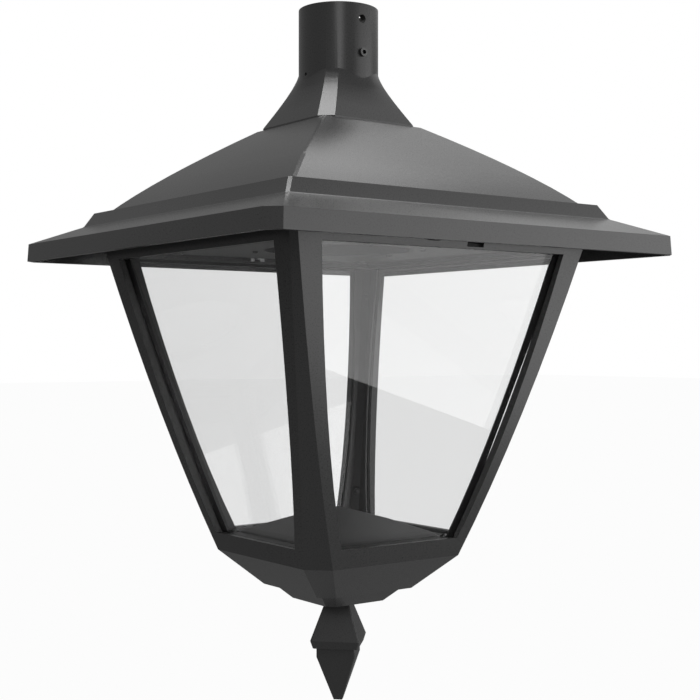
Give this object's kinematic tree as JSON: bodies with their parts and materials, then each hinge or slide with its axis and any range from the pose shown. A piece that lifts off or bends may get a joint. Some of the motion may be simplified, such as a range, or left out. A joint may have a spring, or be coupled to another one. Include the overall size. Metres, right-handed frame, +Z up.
{
  "type": "pendant lantern",
  "caption": "Square cast pendant lantern with a pole sleeve, stepped pyramid roof, tapered glazed body that swings down on a hinge, and a pointed finial.",
  "frame": {"origin": "on the lantern's axis at the top rim of the pole sleeve, the mouth of the socket", "axes": "+Z up along the axis, out of the socket; -Y is the hinged side of the glazed body and +Y the side with its closing screw"},
  "size_m": [0.4488, 0.4488, 0.657],
  "materials": {
    "cast_anthracite": "die-cast aluminium, satin anthracite powder coat",
    "stainless": "plain stainless steel",
    "clear_glass": "clear toughened glass",
    "black_rubber": "black silicone",
    "tray_sheet": "anthracite coated sheet",
    "black_steel": "black oxide steel",
    "bare_aluminium": "bare cast",
    "white_board": "white solder mask",
    "chip_resin": "phosphor resin",
    "frosted_lens": "satin polycarbonate",
    "grey_plastic": "moulded",
    "black_plastic": "moulded",
    "brass_fixing": "plain brass",
    "retainer_sheet": "anthracite coated sheet",
    "floor_sheet": "anthracite coated pressing"
  },
  "bodies": {
    "canopy": {"neck": "cast_anthracite", "grub_screw": "black_steel", "neck_screws": "stainless", "roof": "cast_anthracite", "cable_grommet": "black_rubber", "gear_tray": "tray_sheet", "tray_screws": "black_steel", "heat_sink": "bare_aluminium", "light_board": "white_board", "light_chips": "chip_resin", "lens": "frosted_lens", "lens_ring": "cast_anthracite", "ring_screws": "black_steel", "driver": "grey_plastic", "terminal_block": "black_plastic", "earth_screw": "brass_fixing", "hinge_arms": "stainless", "hinge_screws": "stainless", "closing_strap": "stainless", "strap_screws": "stainless"},
    "glazed_body": {"body_frame": "cast_anthracite", "body_seal": "black_rubber", "glass_front": "clear_glass", "glass_right": "clear_glass", "glass_back": "clear_glass", "glass_left": "clear_glass", "glass_seals": "black_rubber", "glass_retainers": "retainer_sheet", "retainer_screws": "black_steel", "floor_cover": "floor_sheet", "floor_screws": "stainless", "hinge_pins": "stainless", "closing_screw": "stainless", "closing_nut": "stainless", "finial": "cast_anthracite", "finial_nut": "stainless"}
  },
  "joints": [
    {"name": "body_hinge", "type": "hinge", "parent": "canopy", "child": "glazed_body", "pos_m": [0, -0.1605, -0.225], "axis": [-1, 0, 0], "range_deg": [0, 75]}
  ]
}
